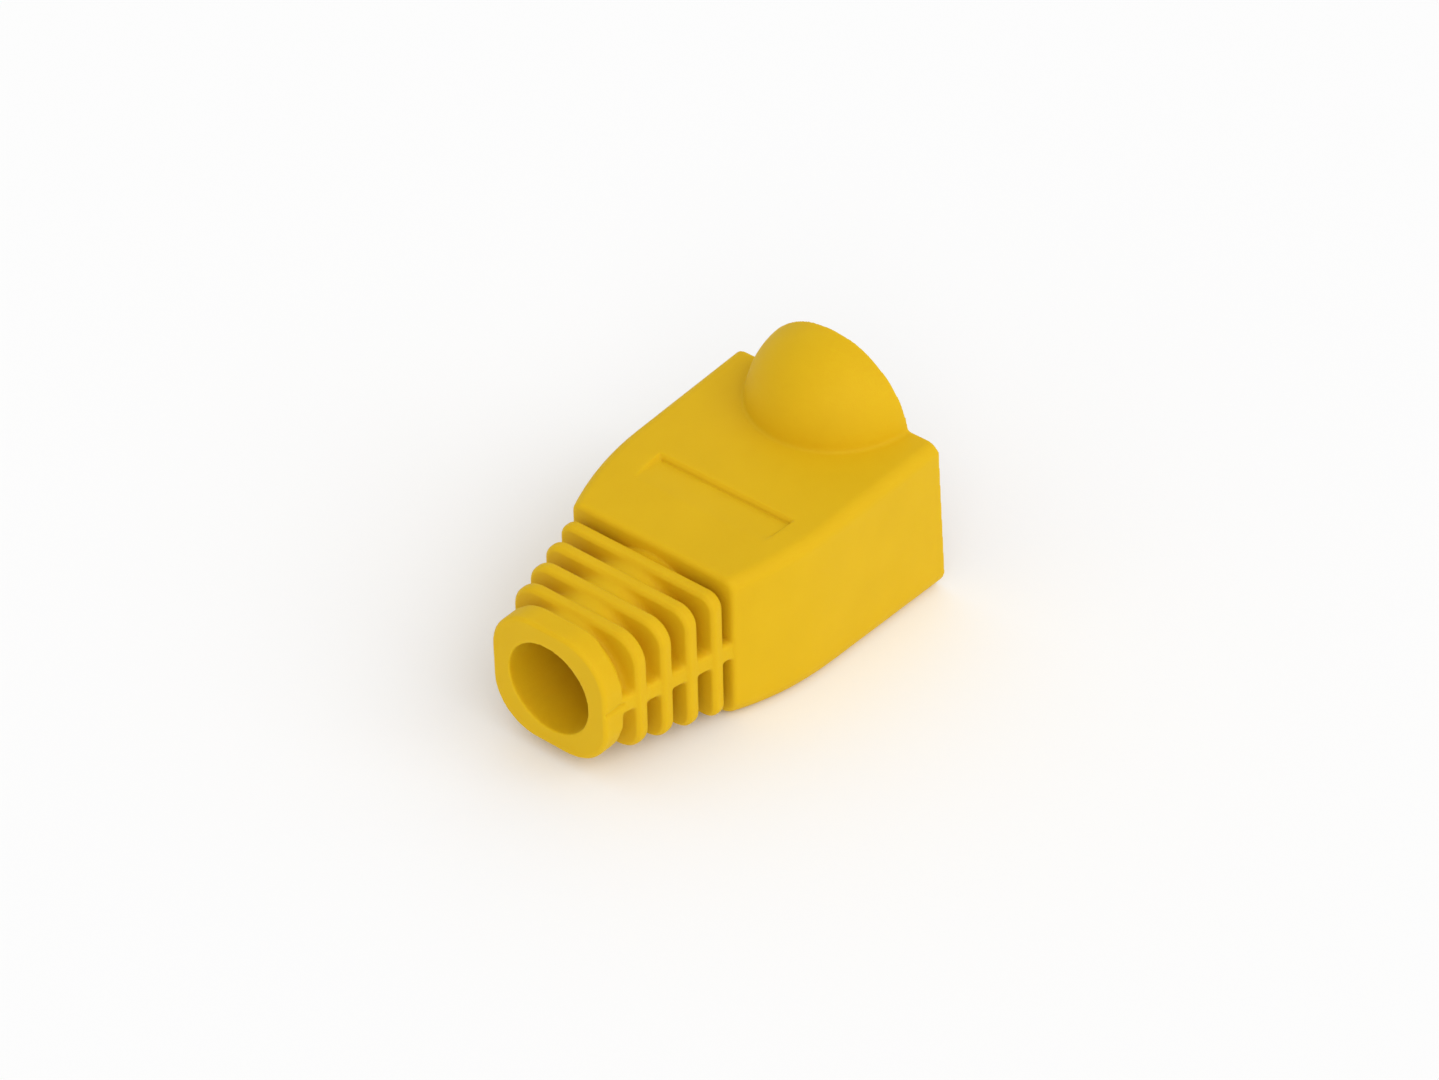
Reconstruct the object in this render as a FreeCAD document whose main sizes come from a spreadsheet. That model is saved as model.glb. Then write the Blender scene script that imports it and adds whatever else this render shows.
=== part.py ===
import FreeCAD, Part
import math
import os
import Sketcher

# RJ45 strain relief boot: one moulding of soft PVC, in millimetres.
# The origin is the centre of the cable bore's mouth. X is the width, +Y runs along the bore
# from the cable end to the plug end, and +Z is up, through the latch dome.

document = FreeCAD.newDocument("StrainReliefBoot")
sheet = document.addObject("Spreadsheet::Sheet", "Sizes")

# name, value, what it is
SIZES = [
    ("overall_length", 24.0, "cable end to the lower rear edge"),
    ("housing_front", 8.25, "cable end to the front face of the housing"),
    ("rear_width", 14.0, "outside width at the lower rear edge"),
    ("side_taper", 1.04, "angle of each side wall to the bore, degrees"),
    ("side_nose", 6.55, "length of the curved part of each side"),
    ("side_nose_radius", 18.2, "curve of that part"),
    ("top_height", 5.25, "top face above the bore axis, at the rear"),
    ("top_taper", 1.87, "angle of the top face to the bore, degrees"),
    ("top_nose", 6.55, "length of the curved part of the top"),
    ("top_nose_radius", 100.0, "curve of that part"),
    ("base_depth", 4.7, "base below the bore axis"),
    ("base_nose", 4.2, "length of the curved front part of the base"),
    ("base_nose_radius", 60.0, "curve of that part"),
    ("rear_slant", 3.84, "lean of the rear plane, degrees, top edge forward"),
    ("top_edge_radius", 0.7, "rounding of the two upper long edges"),
    ("base_edge_radius", 1.2, "rounding of the two lower long edges"),
    ("front_edge_radius", 0.32, "rounding round the front face"),
    ("dome_radius", 4.95, "outside radius of the latch dome"),
    ("dome_rise", 4.55, "dome above the top face"),
    ("dome_foot_radius", 0.2, "hollow fillet round the foot of the dome"),
    ("dome_wall", 1.0, "wall of the dome, round its rear edge"),
    ("pocket_depth", 3.3, "latch pocket under the dome, along the bore"),
    ("pocket_front_radius", 2.2, "radius of the pocket's front end"),
    ("bore_diameter", 5.4, "cable bore"),
    ("throat_diameter", 7.4, "wide end of the cone between socket and bore"),
    ("throat_length", 1.6, "length of that cone"),
    ("socket_width", 11.7, "plug socket, across"),
    ("socket_height", 7.8, "plug socket, up"),
    ("socket_depth", 9.2, "plug socket, from the lower rear edge"),
    ("socket_floor_wall", 1.05, "wall under the plug socket"),
    ("socket_corner_radius", 0.4, "inside corners of the plug socket"),
    ("ring_length", 1.5, "end ring, along the bore"),
    ("ring_width", 7.78, "end ring, across"),
    ("ring_height", 7.68, "end ring, up"),
    ("ring_corner_radius", 2.85, "corners of the end ring"),
    ("ring_rim_bevel", 0.15, "bevel of both rims of the end ring"),
    ("rib_count", 4, "bend ribs between the end ring and the housing"),
    ("first_rib", 2.14, "cable end to the near face of the first rib"),
    ("rib_pitch", 1.604, "from rib to rib"),
    ("rib_thickness", 0.84, "rib, along the bore"),
    ("rib_corner_radius", 1.65, "corners of the first rib"),
    ("rib_corner_step", 0.25, "corners of each rib sharper than those of the one before it"),
    ("rib_rim_bevel", 0.2, "bevel of both rims of each rib"),
    ("first_rib_width", 8.56, "first rib, across"),
    ("rib_width_step", 0.677, "each rib wider than the one before it"),
    ("first_rib_height", 7.46, "first rib, up"),
    ("rib_height_step", 0.216, "each rib higher than the one before it"),
    ("core_front_diameter", 6.8, "round tube between the ribs, at the cable end"),
    ("core_rear_diameter", 7.5, "round tube between the ribs, at the housing"),
    ("rail_height", 1.1, "flat rail along each side of the neck, up"),
    ("rail_setback", 0.08, "rail below the sides of the ring and ribs"),
    ("rail_edge_bevel", 0.14, "bevel of the long edges of the rails"),
    ("recess_width", 8.8, "floor of the label recess, across"),
    ("recess_offset", 0.3, "middle of the recess to the right of the bore axis"),
    ("recess_length", 2.2, "floor of the label recess, along the bore"),
    ("recess_rear", 13.75, "cable end to the rear edge of the recess floor"),
    ("recess_depth", 0.28, "label recess at its rear edge"),
    ("recess_wall_angle", 36.0, "lean of the recess walls, degrees"),
    ("recess_floor_tilt", 4.2, "recess floor rises towards the cable end, degrees"),
    ("overcut", 2.0, "how far cutting shapes run past the part"),
]
for row, (alias, number, note) in enumerate(SIZES, start=1):
    sheet.set("A%d" % row, alias)
    sheet.set("B%d" % row, str(number))
    sheet.set("C%d" % row, note)
    sheet.setAlias("B%d" % row, alias)
document.recompute()

# In a sketch: the ends of a curve, the origin, and the two axes.
START, END = 1, 2
ORIGIN = (-1, 1)
LEVEL = -1
UPRIGHT = -2
# Edges shorter than this along the bore lie in a plane across it.
ACROSS = 0.001
# The dome's centre lies in the rear plane, and the socket ends short of the nose.
DOME_Z = "Sizes.top_height + Sizes.dome_rise - Sizes.dome_radius"
DOME_Y = "Sizes.overall_length - (%s + Sizes.base_depth) * tan(Sizes.rear_slant * 1 deg)" % DOME_Z
SOCKET_END = "Sizes.overall_length - Sizes.socket_depth"
# The housing is drawn this far back, with the whole dome on it, before its rear is cut off.
UNCUT_REAR = "Sizes.overall_length + Sizes.dome_radius + Sizes.overcut"


def size(alias):
    return float(sheet.get(alias))


def bind(item, **expressions):
    for path, expression in expressions.items():
        item.setExpression(path.replace("__", "."), expression)


def add_body(name):
    return document.addObject("PartDesign::Body", name)


def add_feature(body, kind, name, **settings):
    feature = body.newObject("PartDesign::" + kind, name)
    for key, setting in settings.items():
        setattr(feature, key, setting)
    return feature


def add_sketch(body, name, plane_role):
    sketch = body.newObject("Sketcher::SketchObject", name)
    plane = [item for item in body.Origin.OriginFeatures if item.Role == plane_role][0]
    sketch.AttachmentSupport = [(plane, "")]
    sketch.MapMode = "FlatFace"
    return sketch


def add_line(sketch, start, end):
    line = Part.LineSegment(FreeCAD.Vector(*start, 0), FreeCAD.Vector(*end, 0))
    return sketch.addGeometry(line, False)


def add_arc(sketch, start, end, radius):
    """An arc that turns left from start to end, bulging to the right of that way."""
    start, end = FreeCAD.Vector(*start, 0), FreeCAD.Vector(*end, 0)
    chord = end - start
    left = FreeCAD.Vector(-chord.y, chord.x, 0).normalize()
    centre = (start + end) / 2 + left * math.sqrt(radius**2 - (chord.Length / 2) ** 2)
    angles = [math.atan2(point.y - centre.y, point.x - centre.x) for point in (start, end)]
    circle = Part.Circle(centre, FreeCAD.Vector(0, 0, 1), radius)
    return sketch.addGeometry(Part.ArcOfCircle(circle, *angles), False)


def constrain(sketch, kind, *places):
    sketch.addConstraint(Sketcher.Constraint(kind, *places))


def dimension(sketch, kind, *places, guess, expression):
    index = sketch.addConstraint(Sketcher.Constraint(kind, *places, guess))
    sketch.setExpression("Constraints[%d]" % index, expression)


def close_loop(sketch, curves, smooth=()):
    """Join each curve's end to the start of the next, tangent at the curves named smooth."""
    for number, curve in enumerate(curves):
        following = curves[(number + 1) % len(curves)]
        kind = "Tangent" if curve in smooth else "Coincident"
        constrain(sketch, kind, curve, END, following, START)


def add_polygon(sketch, corners):
    following = corners[1:] + corners[:1]
    lines = [add_line(sketch, start, end) for start, end in zip(corners, following)]
    close_loop(sketch, lines)
    return lines


def pin_line(sketch, line, place, across, up):
    """Make a line pass through a point given by two expressions."""
    point = sketch.addGeometry(Part.Point(FreeCAD.Vector(*place, 0)), True)
    dimension(sketch, "DistanceX", *ORIGIN, point, START, guess=place[0], expression=across)
    dimension(sketch, "DistanceY", *ORIGIN, point, START, guess=place[1], expression=up)
    constrain(sketch, "PointOnObject", point, START, line)


def add_centred_rectangle(sketch, width, height):
    """A rectangle about the sketch's origin, with its width and height as expressions."""
    lines = add_polygon(sketch, [(-1, -1), (1, -1), (1, 1), (-1, 1)])
    for line in lines[0::2]:
        constrain(sketch, "Horizontal", line)
    for line in lines[1::2]:
        constrain(sketch, "Vertical", line)
    constrain(sketch, "Symmetric", lines[0], START, lines[2], START, *ORIGIN)
    dimension(sketch, "DistanceX", lines[0], START, lines[0], END, guess=2.0, expression=width)
    dimension(sketch, "DistanceY", lines[1], START, lines[1], END, guess=2.0, expression=height)


def add_dressing(kind, body, name, base, chosen, **sizes):
    """A fillet or chamfer on those edges of the base feature that the test chooses."""
    document.recompute()
    names = [
        "Edge%d" % number
        for number, edge in enumerate(base.Shape.Edges, start=1)
        if chosen(edge)
    ]
    dressing = add_feature(body, kind, name, Base=(base, names))
    bind(dressing, **sizes)
    return dressing


def add_fillet(body, name, base, chosen, radius):
    return add_dressing("Fillet", body, name, base, chosen, Radius=radius)


def add_chamfer(body, name, base, chosen, bevel):
    return add_dressing("Chamfer", body, name, base, chosen, Size=bevel)


def runs_along(edge):
    return edge.BoundBox.YLength > ACROSS


def lies_across(edge):
    return edge.BoundBox.YLength < ACROSS


def add_along_bore(kind, name, near, length, **radii):
    """A cylinder or cone along the bore, from near towards the plug end."""
    item = document.addObject("Part::" + kind, name)
    item.Placement = FreeCAD.Placement(
        FreeCAD.Vector(), FreeCAD.Rotation(FreeCAD.Vector(1, 0, 0), -90)
    )
    bind(item, Placement__Base__y=near, Height=length, **radii)
    return item


def make_plan_envelope():
    """What the housing fills as seen from above: flat sides that curve in at the nose."""
    body = add_body("PlanEnvelope")
    plan = add_sketch(body, "PlanOutline", "XY_Plane")
    front, nose_end = size("housing_front"), size("housing_front") + size("side_nose")
    rear = size("overall_length") + size("dome_radius") + size("overcut")
    half_width, radius = size("rear_width") / 2, size("side_nose_radius")
    narrowing = size("side_nose") ** 2 / radius / 2
    near_x = half_width - narrowing

    bottom = add_line(plan, (-near_x, front), (near_x, front))
    right_nose = add_arc(plan, (near_x, front), (half_width, nose_end), radius)
    right_side = add_line(plan, (half_width, nose_end), (half_width, rear))
    back = add_line(plan, (half_width, rear), (-half_width, rear))
    left_side = add_line(plan, (-half_width, rear), (-half_width, nose_end))
    left_nose = add_arc(plan, (-half_width, nose_end), (-near_x, front), radius)
    loop = [bottom, right_nose, right_side, back, left_side, left_nose]
    close_loop(plan, loop, smooth=(right_nose, left_side))
    constrain(plan, "Symmetric", bottom, START, bottom, END, UPRIGHT)
    constrain(plan, "Symmetric", right_nose, END, left_nose, START, UPRIGHT)
    constrain(plan, "Symmetric", back, START, back, END, UPRIGHT)
    dimension(
        plan, "DistanceY", *ORIGIN, bottom, START, guess=front, expression="Sizes.housing_front"
    )
    dimension(
        plan, "DistanceY", bottom, END, right_nose, END,
        guess=size("side_nose"), expression="Sizes.side_nose",
    )
    dimension(plan, "DistanceY", *ORIGIN, back, START, guess=rear, expression=UNCUT_REAR)
    dimension(plan, "Radius", right_nose, guess=radius, expression="Sizes.side_nose_radius")
    dimension(
        plan, "Angle", right_side,
        guess=math.radians(90 - size("side_taper")), expression="(90 - Sizes.side_taper) * 1 deg",
    )
    pin_line(
        plan, right_side, (half_width, size("overall_length")),
        "Sizes.rear_width / 2", "Sizes.overall_length",
    )
    pad = add_feature(body, "Pad", "PlanPad", Profile=plan, SideType="Symmetric")
    bind(pad, Length="2 * (Sizes.top_height + Sizes.base_depth)")
    return body


def make_housing():
    """The shell round the plug, with the latch dome, still solid inside."""
    body = add_body("Housing")
    side = add_sketch(body, "SideOutline", "YZ_Plane")
    front = size("housing_front")
    rear = size("overall_length") + size("dome_radius") + size("overcut")
    top, base = size("top_height"), -size("base_depth")
    top_radius, base_radius = size("top_nose_radius"), size("base_nose_radius")
    top_end, base_end = front + size("top_nose"), front + size("base_nose")
    top_front = top - size("top_nose") ** 2 / top_radius / 2
    base_front = base + size("base_nose") ** 2 / base_radius / 2

    base_nose = add_arc(side, (front, base_front), (base_end, base), base_radius)
    base_line = add_line(side, (base_end, base), (rear, base))
    back = add_line(side, (rear, base), (rear, top))
    top_line = add_line(side, (rear, top), (top_end, top))
    top_nose = add_arc(side, (top_end, top), (front, top_front), top_radius)
    nose = add_line(side, (front, top_front), (front, base_front))
    loop = [base_nose, base_line, back, top_line, top_nose, nose]
    close_loop(side, loop, smooth=(base_nose, top_line))
    constrain(side, "Horizontal", base_line)
    constrain(side, "Vertical", back)
    constrain(side, "Vertical", nose)
    dimension(
        side, "DistanceX", *ORIGIN, nose, START, guess=front, expression="Sizes.housing_front"
    )
    dimension(
        side, "DistanceX", nose, START, top_line, END,
        guess=size("top_nose"), expression="Sizes.top_nose",
    )
    dimension(
        side, "DistanceX", nose, START, base_line, START,
        guess=size("base_nose"), expression="Sizes.base_nose",
    )
    dimension(side, "DistanceX", *ORIGIN, back, START, guess=rear, expression=UNCUT_REAR)
    dimension(
        side, "DistanceY", base_line, START, *ORIGIN, guess=-base, expression="Sizes.base_depth"
    )
    dimension(side, "Radius", top_nose, guess=top_radius, expression="Sizes.top_nose_radius")
    dimension(side, "Radius", base_nose, guess=base_radius, expression="Sizes.base_nose_radius")
    dimension(
        side, "Angle", top_line,
        guess=math.radians(size("top_taper") - 180), expression="(Sizes.top_taper - 180) * 1 deg",
    )
    pin_line(
        side, top_line, (size("overall_length"), top), "Sizes.overall_length", "Sizes.top_height"
    )
    slab = add_feature(body, "Pad", "SidePad", Profile=side, SideType="Symmetric")
    bind(slab, Length="Sizes.rear_width + 2 * Sizes.overcut")

    shell = add_feature(body, "Boolean", "SideAndPlan", Type="Common")
    shell.setObjects([make_plan_envelope()])

    def runs_above(edge):
        return runs_along(edge) and edge.CenterOfMass.z > 0

    def runs_below(edge):
        return runs_along(edge) and edge.CenterOfMass.z < 0

    top_edges = add_fillet(body, "TopEdges", shell, runs_above, "Sizes.top_edge_radius")
    long_edges = add_fillet(body, "BaseEdges", top_edges, runs_below, "Sizes.base_edge_radius")

    def rings_the_front(edge):
        return lies_across(edge) and edge.BoundBox.YMax < front + ACROSS

    add_fillet(body, "FrontEdges", long_edges, rings_the_front, "Sizes.front_edge_radius")
    add_dome(body)
    add_rear_trim(body)
    return body


def add_dome(body):
    """The latch dome, a whole ball on the top face, and the hollow fillet round its foot."""
    dome = add_feature(body, "AdditiveSphere", "Dome")
    bind(dome, Radius="Sizes.dome_radius", Placement__Base__y=DOME_Y, Placement__Base__z=DOME_Z)
    document.recompute()
    centre = dome.Placement.Base

    def rounds_the_dome_foot(edge):
        middle = edge.valueAt((edge.FirstParameter + edge.LastParameter) / 2)
        on_dome = abs((middle - centre).Length - size("dome_radius")) < ACROSS
        return on_dome and edge.BoundBox.YLength > size("dome_radius")

    add_fillet(body, "DomeFoot", dome, rounds_the_dome_foot, "Sizes.dome_foot_radius")


def add_rear_trim(body):
    """Cut housing and dome off along one plane that leans forward at the top."""
    trim = add_sketch(body, "RearPlane", "YZ_Plane")
    length, margin = size("overall_length"), size("overcut")
    low, high = -size("base_depth") - margin, size("top_height") + size("dome_rise") + margin
    behind = length + size("dome_radius") + 2 * margin
    corners = [(length, low), (behind, low), (behind, high), (length, high)]
    under, back, over, cut = add_polygon(trim, corners)
    constrain(trim, "Horizontal", under)
    constrain(trim, "Vertical", back)
    constrain(trim, "Horizontal", over)
    dimension(
        trim, "DistanceY", under, START, *ORIGIN,
        guess=-low, expression="Sizes.base_depth + Sizes.overcut",
    )
    dimension(
        trim, "DistanceY", *ORIGIN, over, START,
        guess=high, expression="Sizes.top_height + Sizes.dome_rise + Sizes.overcut",
    )
    dimension(
        trim, "DistanceX", *ORIGIN, back, START,
        guess=behind, expression=UNCUT_REAR + " + Sizes.overcut",
    )
    dimension(
        trim, "Angle", cut,
        guess=math.radians(size("rear_slant") - 90), expression="(Sizes.rear_slant - 90) * 1 deg",
    )
    pin_line(
        trim, cut, (length, -size("base_depth")), "Sizes.overall_length", "-Sizes.base_depth"
    )
    document.recompute()
    uncut_volume = body.Tip.Shape.Volume
    pocket = add_feature(body, "Pocket", "RearTrim", Profile=trim, SideType="Symmetric")
    bind(pocket, Length="Sizes.rear_width + 2 * Sizes.overcut")
    document.recompute()
    if not pocket.Shape.Volume < uncut_volume:
        raise RuntimeError("the rear trim cuts nothing")


def make_slab(name, near, width, height, thickness, corner_radius, rim_bevel):
    """A flat rounded square across the bore: the end ring or a rib, before the bore."""
    body = add_body(name)
    outline = add_sketch(body, name + "Outline", "XZ_Plane")
    add_centred_rectangle(outline, width, height)
    pad = add_feature(body, "Pad", name + "Pad", Profile=outline, Reversed=True)
    bind(pad, Length=thickness)
    corners = add_fillet(body, name + "Corners", pad, runs_along, corner_radius)
    add_chamfer(body, name + "Rims", corners, lies_across, rim_bevel)
    bind(body, Placement__Base__y=near)
    return body


def make_ribs():
    ribs = []
    for number in range(int(size("rib_count"))):
        ribs.append(
            make_slab(
                "Rib%d" % (number + 1),
                near="Sizes.first_rib + %d * Sizes.rib_pitch" % number,
                width="Sizes.first_rib_width + %d * Sizes.rib_width_step" % number,
                height="Sizes.first_rib_height + %d * Sizes.rib_height_step" % number,
                thickness="Sizes.rib_thickness",
                corner_radius="Sizes.rib_corner_radius - %d * Sizes.rib_corner_step" % number,
                rim_bevel="Sizes.rib_rim_bevel",
            )
        )
    return ribs


def make_end_ring():
    return make_slab(
        "EndRing",
        near="0",
        width="Sizes.ring_width",
        height="Sizes.ring_height",
        thickness="Sizes.ring_length",
        corner_radius="Sizes.ring_corner_radius",
        rim_bevel="Sizes.ring_rim_bevel",
    )


def make_core():
    """The round tube that shows between the ribs, and stops the grooves at mid-width."""
    return add_along_bore(
        "Cone", "Core",
        near="Sizes.ring_length / 2",
        length="Sizes.housing_front + Sizes.front_edge_radius - Sizes.ring_length / 2",
        Radius1="Sizes.core_front_diameter / 2",
        Radius2="Sizes.core_rear_diameter / 2",
    )


def make_rails():
    """One flat web at the parting line, whose edges are the two side rails."""
    body = add_body("Rails")
    web = add_sketch(body, "RailOutline", "XY_Plane")
    near, far = size("ring_length") / 2, size("housing_front") + size("front_edge_radius")
    near_x, far_x = size("ring_width") / 2, size("first_rib_width") / 2
    corners = [(-near_x, near), (near_x, near), (far_x, far), (-far_x, far)]
    front, right, back, _ = add_polygon(web, corners)
    for line in (front, back):
        constrain(web, "Symmetric", line, START, line, END, UPRIGHT)
    dimension(
        web, "DistanceY", *ORIGIN, front, START, guess=near, expression="Sizes.ring_length / 2"
    )
    dimension(
        web, "DistanceY", *ORIGIN, back, START,
        guess=far, expression="Sizes.housing_front + Sizes.front_edge_radius",
    )
    dimension(
        web, "DistanceX", front, START, front, END,
        guess=2 * near_x, expression="Sizes.ring_width - 2 * Sizes.rail_setback",
    )
    pin_line(
        web, right, (far_x, far),
        "(Sizes.first_rib_width + (Sizes.rib_count - 1) * Sizes.rib_width_step) / 2"
        " - Sizes.rail_setback",
        "Sizes.first_rib + (Sizes.rib_count - 1) * Sizes.rib_pitch + Sizes.rib_thickness / 2",
    )
    pad = add_feature(body, "Pad", "RailPad", Profile=web, SideType="Symmetric")
    bind(pad, Length="Sizes.rail_height")
    add_chamfer(body, "RailEdges", pad, runs_along, "Sizes.rail_edge_bevel")
    return body


def make_socket():
    body = add_body("PlugSocket")
    outline = add_sketch(body, "SocketOutline", "XZ_Plane")
    add_centred_rectangle(outline, "Sizes.socket_width", "Sizes.socket_height")
    pad = add_feature(body, "Pad", "SocketPad", Profile=outline, Reversed=True)
    bind(pad, Length="Sizes.socket_depth + Sizes.overcut")
    add_fillet(body, "SocketCorners", pad, runs_along, "Sizes.socket_corner_radius")
    bind(
        body,
        Placement__Base__y=SOCKET_END,
        Placement__Base__z="Sizes.socket_height / 2 + Sizes.socket_floor_wall - Sizes.base_depth",
    )
    return body


def make_latch_pocket():
    """Room for the plug's latch: a round core that draws out to the rear, open to the socket."""
    taper = "(Sizes.dome_radius - Sizes.dome_wall - Sizes.pocket_front_radius) / Sizes.pocket_depth"
    pocket = add_along_bore(
        "Cone", "LatchPocket",
        near="%s - Sizes.pocket_depth" % DOME_Y,
        length="Sizes.pocket_depth + Sizes.overcut",
        Radius1="Sizes.pocket_front_radius",
        Radius2="Sizes.dome_radius - Sizes.dome_wall + Sizes.overcut * %s" % taper,
    )
    bind(pocket, Placement__Base__z=DOME_Z)
    return pocket


def make_throat():
    return add_along_bore(
        "Cone", "Throat",
        near=SOCKET_END + " - Sizes.throat_length",
        length="Sizes.throat_length",
        Radius1="Sizes.bore_diameter / 2",
        Radius2="Sizes.throat_diameter / 2",
    )


def make_bore():
    return add_along_bore(
        "Cylinder", "Bore",
        near="-Sizes.overcut",
        length=SOCKET_END + " + Sizes.overcut",
        Radius="Sizes.bore_diameter / 2",
    )


def make_label_recess():
    """A shallow pocket with sloped walls, whose floor runs out where the top curves down."""
    body = add_body("LabelRecess")
    floor = add_sketch(body, "RecessFloor", "XY_Plane")
    half_width, length = size("recess_width") / 2, size("recess_length")
    corners = [(-half_width, -length), (half_width, -length), (half_width, 0), (-half_width, 0)]
    front, right, rear, _ = add_polygon(floor, corners)
    constrain(floor, "Symmetric", front, START, front, END, UPRIGHT)
    constrain(floor, "Symmetric", rear, START, rear, END, UPRIGHT)
    constrain(floor, "Vertical", right)
    constrain(floor, "PointOnObject", rear, START, LEVEL)
    dimension(
        floor, "DistanceX", front, START, front, END,
        guess=2 * half_width, expression="Sizes.recess_width",
    )
    dimension(
        floor, "DistanceY", right, START, right, END,
        guess=length, expression="Sizes.recess_length",
    )
    pad = add_feature(body, "Pad", "RecessPad", Profile=floor)
    bind(pad, Length="2 * Sizes.recess_depth", TaperAngle="Sizes.recess_wall_angle * 1 deg")
    body.Placement.Rotation = FreeCAD.Rotation(FreeCAD.Vector(1, 0, 0), -1)
    bind(
        body,
        Placement__Rotation__Angle="-Sizes.recess_floor_tilt * 1 deg",
        Placement__Base__x="Sizes.recess_offset",
        Placement__Base__y="Sizes.recess_rear",
        Placement__Base__z="Sizes.top_height - Sizes.recess_depth"
        " - (Sizes.overall_length - Sizes.recess_rear) * tan(Sizes.top_taper * 1 deg)",
    )
    return body


solid = document.addObject("Part::MultiFuse", "Outside")
solid.Shapes = [make_housing(), make_core(), make_end_ring(), *make_ribs(), make_rails()]
hollows = [make_socket(), make_latch_pocket(), make_throat(), make_bore(), make_label_recess()]

boot = solid
for hollow in hollows:
    cut = document.addObject("Part::Cut", hollow.Name + "Cut")
    cut.Base, cut.Tool = boot, hollow
    document.recompute()
    if not cut.Shape.Volume < boot.Shape.Volume:
        raise RuntimeError(hollow.Name + " cuts nothing")
    boot = cut
boot.Refine = True
boot.Label = "strain_relief_boot"
document.recompute()

for item in document.Objects:
    if "Invalid" in item.State or "Error" in item.State:
        raise RuntimeError("%s is %s" % (item.Name, item.State))
if boot.Shape.isNull() or not boot.Shape.isValid() or len(boot.Shape.Solids) != 1:
    raise RuntimeError("the boot is not one valid solid")

os.makedirs("parts", exist_ok=True)
boot.Shape.exportStep("parts/%s.step" % boot.Label)
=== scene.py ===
import math

import bpy
from mathutils import Matrix, Vector


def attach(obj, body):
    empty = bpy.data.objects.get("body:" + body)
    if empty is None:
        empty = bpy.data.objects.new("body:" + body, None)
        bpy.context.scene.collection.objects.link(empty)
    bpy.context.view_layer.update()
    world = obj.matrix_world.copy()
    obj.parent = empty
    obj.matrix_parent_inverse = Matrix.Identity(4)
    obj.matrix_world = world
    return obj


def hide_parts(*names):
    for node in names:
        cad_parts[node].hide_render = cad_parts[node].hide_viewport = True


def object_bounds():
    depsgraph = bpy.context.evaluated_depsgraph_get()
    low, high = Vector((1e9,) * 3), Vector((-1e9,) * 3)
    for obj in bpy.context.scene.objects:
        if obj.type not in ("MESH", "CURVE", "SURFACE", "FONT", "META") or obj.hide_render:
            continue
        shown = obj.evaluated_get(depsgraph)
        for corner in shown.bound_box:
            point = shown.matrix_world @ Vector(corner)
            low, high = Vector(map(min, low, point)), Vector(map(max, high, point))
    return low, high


# RJ45 strain relief boot, one moulding of soft PVC. The finished boot is a copy of the CAD
# solid whose crisp edges are softened as a mould leaves them in soft PVC. Lengths are in
# millimetres and angles in degrees.

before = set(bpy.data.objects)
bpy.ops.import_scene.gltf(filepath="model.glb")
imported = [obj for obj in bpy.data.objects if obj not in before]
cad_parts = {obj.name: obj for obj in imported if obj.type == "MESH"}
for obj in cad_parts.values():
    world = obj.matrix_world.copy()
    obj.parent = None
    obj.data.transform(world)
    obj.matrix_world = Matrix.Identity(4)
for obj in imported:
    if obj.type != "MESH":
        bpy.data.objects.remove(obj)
CAD_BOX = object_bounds()
MM = 0.001
NODE = "strain_relief_boot"

# How the finished surface is made.
MERGE_DISTANCE = 0.002
SKIN_GRID = 0.08
SMOOTHING_FACTOR = 0.5
SOFTENING_PASSES = 3
FINISHED_TRIANGLES = 190000

# The neck's ribs and grooves, which are the softest forms: where they lie along the bore, and
# how far outside its axis.
NECK_START = 1.2
NECK_END = 8.2
NECK_INSIDE = 3.0
NECK_PASSES = 7
# The ribs' outline: the first rib's middle, and at it the half width, the half height and the
# corner radius, each with its growth per millimetre towards the housing.
FIRST_RIB = 2.56
RIB_HALF_WIDTH = (4.28, 0.211)
RIB_HALF_HEIGHT = (3.73, 0.0673)
RIB_CORNER = (1.65, 0.156)
# How far below the ribs' outline the grooves begin to fill out, and how much they do.
GROOVE_DEPTH = 0.2
GROOVE_PASSES = 70

# The mould's parting line, a fine crease on each side of the ring: where it runs along the
# bore, how far out and how high it lies, and how wide and deep it is.
PARTING_START = 0.1
PARTING_END = 1.42
PARTING_OUT = 3.3
PARTING_HEIGHT = 0.12
PARTING_HALF_WIDTH = 0.09
PARTING_DEPTH = 0.12

# The label recess, which stays crisp: its place across, along and up.
RECESS_LOW = (-5.0, 11.0, 4.4)
RECESS_HIGH = (5.6, 14.3, 5.2)
# The fine sharp line at the foot of the recess's rear and right walls: where the walls' feet
# lie, how far forward and to the left the line runs, and how wide and deep it is.
FOOT_REAR = 13.75
FOOT_RIGHT = 4.7
FOOT_FRONT = 12.3
FOOT_LEFT = -4.1
FOOT_HALF_WIDTH = 0.06
FOOT_DEPTH = 0.08

# Yellow pigment, in patches where it is a little weaker or stronger.
WEAK_PIGMENT = "D8AE10"
STRONG_PIGMENT = "DCB212"
PIGMENT_PATCH = 3.5
PATCH_EDGES = (0.3, 0.7)
# The grain that the mould's fine-blasted steel leaves, and the slow swell of thick walls.
GRAIN = 0.13
GRAIN_HEIGHT = 0.006
SWELL = 2.5
SWELL_HEIGHT = 0.02
# PVC's refraction and its dull skin, smoother in the grain's hollows than on its tops.
PVC_IOR = 1.53
PVC_SPECULAR = 0.12
ROUGHNESS = (0.56, 0.68)
# The little light that passes under the skin, and how far its red, green and blue go.
UNDER_SKIN = 0.4
UNDER_SKIN_DEPTH = 0.5
UNDER_SKIN_SHARES = (1.0, 0.95, 0.6)

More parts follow.
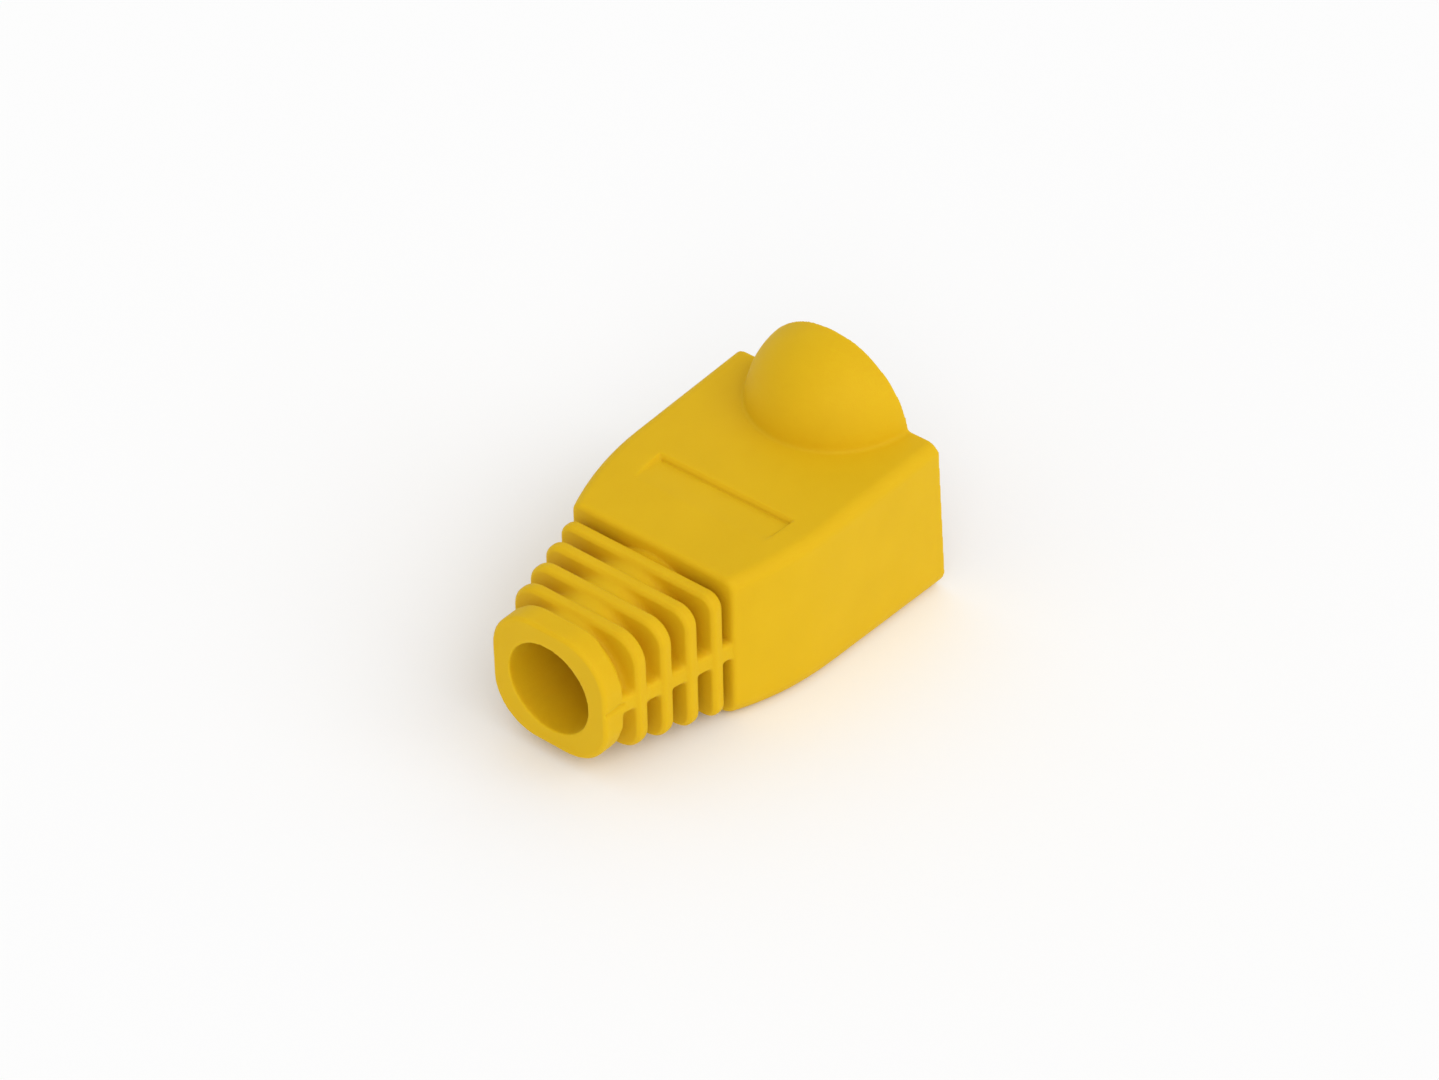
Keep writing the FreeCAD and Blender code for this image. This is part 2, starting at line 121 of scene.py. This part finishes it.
# The camera's turn round the part, its height and its roll.
CAMERA_AZIMUTH = 41.13
CAMERA_ELEVATION = 38.24
CAMERA_ROLL = -1.37
CAMERA_LENS = 135.22
SENSOR_WIDTH = 36.0
CAMERA_REACH = (10.0, 10000.0)
# From the middle of the part's box back to the camera, and how far that middle sits to the
# right of and above the middle of the frame.
CAMERA_DISTANCE = 282.56
FRAME_RIGHT = -1.069
FRAME_UP = 0.136

FLOOR_WIDTH = 1200.0
FLOOR_COLOUR = "FBFBFB"

# Two broad soft lamps, one to the right and one in front: the direction each stands in, its
# height, the angle it fills, and its strength.
LAMPS = {
    "right_lamp": (100.0, 40.0, 50.0, 0.70),
    "front_lamp": (45.0, 38.0, 40.0, 0.68),
}
STUDIO_STRENGTH = 0.74


def select_only(piece):
    bpy.ops.object.select_all(action="DESELECT")
    piece.select_set(True)
    bpy.context.view_layer.objects.active = piece


def apply_modifier(piece, kind, name, **settings):
    modifier = piece.modifiers.new(name, kind)
    for key, setting in settings.items():
        setattr(modifier, key, setting)
    select_only(piece)
    bpy.ops.object.modifier_apply(modifier=name)


def linear(hex_colour):
    """An sRGB hex colour, such as "E6BA26", as the linear RGBA that a shader takes."""
    channels = [int(hex_colour[place : place + 2], 16) / 255 for place in (0, 2, 4)]
    return (
        *[c / 12.92 if c <= 0.04045 else ((c + 0.055) / 1.055) ** 2.4 for c in channels],
        1.0,
    )


def add_node(tree, kind, links=None, **settings):
    """Add a shader node with its properties and sockets set by name, and link its inputs."""
    node = tree.nodes.new("ShaderNode" + kind)
    for key, setting in settings.items():
        if hasattr(node, key):
            setattr(node, key, setting)
        else:
            node.inputs[key.replace("_", " ")].default_value = setting
    for socket, source in (links or {}).items():
        tree.links.new(source, node.inputs[socket])
    return node


def per_millimetre(size):
    """The noise scale whose features are this many millimetres across."""
    return 1 / (size * MM)


def new_material(name):
    material = bpy.data.materials.new(name)
    material.use_nodes = True
    material.node_tree.nodes.clear()
    return material, material.node_tree


def moulded_pvc():
    """Plasticised PVC, injection moulded: dull, evenly coloured, with a very fine grain."""
    material, tree = new_material("moulded_pvc")
    place = add_node(tree, "TexCoord").outputs["Object"]

    patches = add_node(
        tree, "TexNoise", {"Vector": place}, Scale=per_millimetre(PIGMENT_PATCH), Detail=3.0
    )
    pigment = add_node(tree, "ValToRGB", {"Fac": patches.outputs["Fac"]})
    stops = zip(pigment.color_ramp.elements, PATCH_EDGES, (WEAK_PIGMENT, STRONG_PIGMENT))
    for stop, edge, colour in stops:
        stop.position = edge
        stop.color = linear(colour)

    swell = add_node(
        tree, "TexNoise", {"Vector": place}, Scale=per_millimetre(SWELL), Detail=1.0
    )
    swell_bump = add_node(
        tree, "Bump", {"Height": swell.outputs["Fac"]}, Strength=1.0, Distance=SWELL_HEIGHT * MM
    )
    grain = add_node(
        tree, "TexNoise", {"Vector": place}, Scale=per_millimetre(GRAIN), Detail=3.0
    )
    grain_bump = add_node(
        tree, "Bump", {"Height": grain.outputs["Fac"], "Normal": swell_bump.outputs["Normal"]},
        Strength=1.0, Distance=GRAIN_HEIGHT * MM,
    )
    dullness = add_node(
        tree, "MapRange", {"Value": grain.outputs["Fac"]},
        To_Min=ROUGHNESS[0], To_Max=ROUGHNESS[1],
    )
    shader = add_node(
        tree, "BsdfPrincipled",
        {
            "Base Color": pigment.outputs["Color"],
            "Roughness": dullness.outputs["Result"],
            "Normal": grain_bump.outputs["Normal"],
        },
        IOR=PVC_IOR, Specular_IOR_Level=PVC_SPECULAR, Subsurface_Weight=UNDER_SKIN,
        Subsurface_Radius=UNDER_SKIN_SHARES, Subsurface_Scale=UNDER_SKIN_DEPTH * MM,
    )
    add_node(tree, "OutputMaterial", {"Surface": shader.outputs["BSDF"]})
    return material


def on_neck(x, y, z):
    return NECK_START < y < NECK_END and math.hypot(x, z) > NECK_INSIDE


def in_groove(x, y, z):
    """Whether the point lies on the neck, well inside the rounded outline of its ribs."""
    if not on_neck(x, y, z):
        return False
    half_width, half_height, corner = [
        start + growth * (y - FIRST_RIB)
        for start, growth in (RIB_HALF_WIDTH, RIB_HALF_HEIGHT, RIB_CORNER)
    ]
    across = abs(x) - (half_width - corner)
    up = abs(z) - (half_height - corner)
    beyond = math.hypot(max(across, 0), max(up, 0)) + min(max(across, up), 0) - corner
    return beyond < -GROOVE_DEPTH


def on_parting_line(x, y, z):
    return (
        PARTING_START < y < PARTING_END
        and abs(x) > PARTING_OUT
        and abs(z - PARTING_HEIGHT) < PARTING_HALF_WIDTH
    )


def off_recess(x, y, z):
    return not all(
        low < place < high for low, place, high in zip(RECESS_LOW, (x, y, z), RECESS_HIGH)
    )


def on_recess_foot(x, y, z):
    """Whether the point lies at the foot of the recess's rear wall or of its right wall."""
    if off_recess(x, y, z):
        return False
    rear = abs(y - FOOT_REAR) < FOOT_HALF_WIDTH and FOOT_LEFT < x < FOOT_RIGHT
    right = abs(x - FOOT_RIGHT) < FOOT_HALF_WIDTH and FOOT_FRONT < y < FOOT_REAR
    return rear or right


def mark(piece, name, chosen):
    """A vertex group of the points whose place, in millimetres, passes the test."""
    group = piece.vertex_groups.new(name=name)
    points = [point.index for point in piece.data.vertices if chosen(*(point.co / MM))]
    group.add(points, 1.0, "REPLACE")
    return group.name


def smooth(piece, name, chosen, passes, **settings):
    """Round off the points that pass the test."""
    apply_modifier(
        piece, "SMOOTH", name, vertex_group=mark(piece, name, chosen),
        factor=SMOOTHING_FACTOR, iterations=passes, **settings,
    )


def sink(piece, name, chosen, depth):
    """Press the points that pass the test into the surface."""
    apply_modifier(
        piece, "DISPLACE", name, vertex_group=mark(piece, name, chosen),
        strength=-depth * MM, mid_level=0.0,
    )


def copy_solid():
    """A free copy of the CAD solid, its points merged, which leaves the node as it is."""
    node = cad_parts[NODE]
    boot = node.copy()
    boot.data = node.data.copy()
    boot.name = "finished_boot"
    bpy.context.scene.collection.objects.link(boot)
    boot.parent = None
    boot.matrix_world = Matrix.Identity(4)
    for key in list(boot.keys()):
        if key.startswith("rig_"):
            del boot[key]
    select_only(boot)
    bpy.ops.object.mode_set(mode="EDIT")
    bpy.ops.mesh.select_all(action="SELECT")
    bpy.ops.mesh.remove_doubles(threshold=MERGE_DISTANCE * MM)
    bpy.ops.object.mode_set(mode="OBJECT")
    bpy.ops.mesh.customdata_custom_splitnormals_clear()
    return boot


def make_boot():
    """The moulding: the CAD solid, copied, its edges softened, and its faces thinned out."""
    boot = copy_solid()
    apply_modifier(boot, "REMESH", "Skin", mode="VOXEL", voxel_size=SKIN_GRID * MM)
    smooth(boot, "FillGrooves", in_groove, GROOVE_PASSES)
    # Along the bore nothing moves here, so that the ribs keep their thickness.
    smooth(boot, "RoundNeck", on_neck, NECK_PASSES, use_y=False)
    sink(boot, "PartingLine", on_parting_line, PARTING_DEPTH)
    sink(boot, "RecessFoot", on_recess_foot, FOOT_DEPTH)
    smooth(boot, "Soften", off_recess, SOFTENING_PASSES)
    # The skin's faces are all four-sided, two triangles each.
    triangles = 2 * len(boot.data.polygons)
    apply_modifier(boot, "DECIMATE", "Thin", ratio=min(1.0, FINISHED_TRIANGLES / triangles))
    select_only(boot)
    bpy.ops.object.shade_smooth()
    boot.data.materials.clear()
    boot.data.materials.append(moulded_pvc())
    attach(boot, "root")
    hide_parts(NODE)


def make_camera():
    low, high = CAD_BOX
    middle = (Vector(low) + Vector(high)) / 2
    turn = (
        Matrix.Rotation(math.radians(CAMERA_AZIMUTH), 3, "Z")
        @ Matrix.Rotation(math.radians(90 - CAMERA_ELEVATION), 3, "X")
        @ Matrix.Rotation(math.radians(CAMERA_ROLL), 3, "Z")
    )
    camera = bpy.data.objects.new("camera", bpy.data.cameras.new("camera"))
    bpy.context.scene.collection.objects.link(camera)
    camera.data.sensor_width = SENSOR_WIDTH
    camera.data.lens = CAMERA_LENS
    camera.data.clip_start, camera.data.clip_end = [reach * MM for reach in CAMERA_REACH]
    place = middle + turn @ Vector((-FRAME_RIGHT, -FRAME_UP, CAMERA_DISTANCE)) * MM
    camera.matrix_world = Matrix.Translation(place) @ turn.to_4x4()
    bpy.context.scene.camera = camera


def make_floor():
    """A plain pale floor that keeps the boot's soft shadow."""
    material, tree = new_material("pale_floor")
    shader = add_node(tree, "BsdfDiffuse", Color=linear(FLOOR_COLOUR))
    add_node(tree, "OutputMaterial", {"Surface": shader.outputs["BSDF"]})
    bpy.ops.mesh.primitive_plane_add(size=FLOOR_WIDTH * MM, location=(0, 0, CAD_BOX[0][2]))
    floor = bpy.context.object
    floor.name = "floor"
    floor.data.materials.append(material)


def make_light():
    """Two broad soft lamps in a plain white studio."""
    for name, (azimuth, elevation, width, strength) in LAMPS.items():
        lamp = bpy.data.objects.new(name, bpy.data.lights.new(name, "SUN"))
        bpy.context.scene.collection.objects.link(lamp)
        lamp.data.angle = math.radians(width)
        lamp.data.energy = strength
        lamp.rotation_euler = (math.radians(90 - elevation), 0, math.radians(azimuth))
    world = bpy.data.worlds.new("studio")
    bpy.context.scene.world = world
    world.use_nodes = True
    background = world.node_tree.nodes["Background"]
    background.inputs["Color"].default_value = (1, 1, 1, 1)
    background.inputs["Strength"].default_value = STUDIO_STRENGTH


make_boot()
make_camera()
make_floor()
make_light()
bpy.context.scene.view_settings.view_transform = "Standard"
